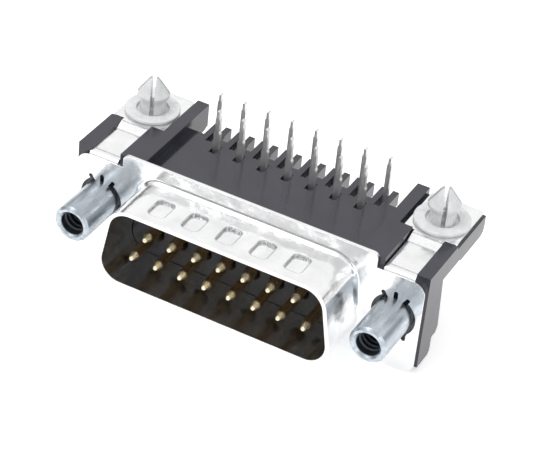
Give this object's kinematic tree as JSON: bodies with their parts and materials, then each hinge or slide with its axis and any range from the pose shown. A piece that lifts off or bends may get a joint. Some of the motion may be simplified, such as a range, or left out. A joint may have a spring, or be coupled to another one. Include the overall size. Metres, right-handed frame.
{
  "type": "right-angle board d-sub plug connector",
  "caption": "Right-angle board-mount D-shaped plug with a dimpled metal shell, ground straps, jackscrew standoffs, split board locks and combed solder tails.",
  "frame": {"origin": "middle of the flange's front face, on the axis of the D-shaped shell", "axes": "+X along the long side, -Y out of the mating side, +Z towards the circuit board, so the solder tails point up"},
  "size_m": [0.0396, 0.0197, 0.0158],
  "materials": {
    "tinned_steel": "bright tin plate",
    "insulator_black": "smooth moulded",
    "bracket_black": "satin moulded",
    "contact_gold": "gold mating end, tinned tail",
    "zinc_plate": "turned, zinc plated",
    "lock_nylon": "translucent moulded"
  },
  "bodies": {
    "root": {"front_shell": "tinned_steel", "insulator": "insulator_black", "bracket": "bracket_black", "contact_01": "contact_gold", "contact_02": "contact_gold", "contact_03": "contact_gold", "contact_04": "contact_gold", "contact_05": "contact_gold", "contact_06": "contact_gold", "contact_07": "contact_gold", "contact_08": "contact_gold", "contact_09": "contact_gold", "contact_10": "contact_gold", "contact_11": "contact_gold", "contact_12": "contact_gold", "contact_13": "contact_gold", "contact_14": "contact_gold", "contact_15": "contact_gold", "standoff_left": "zinc_plate", "standoff_right": "zinc_plate", "board_lock_left": "lock_nylon", "board_lock_right": "lock_nylon"}
  },
  "joints": []
}
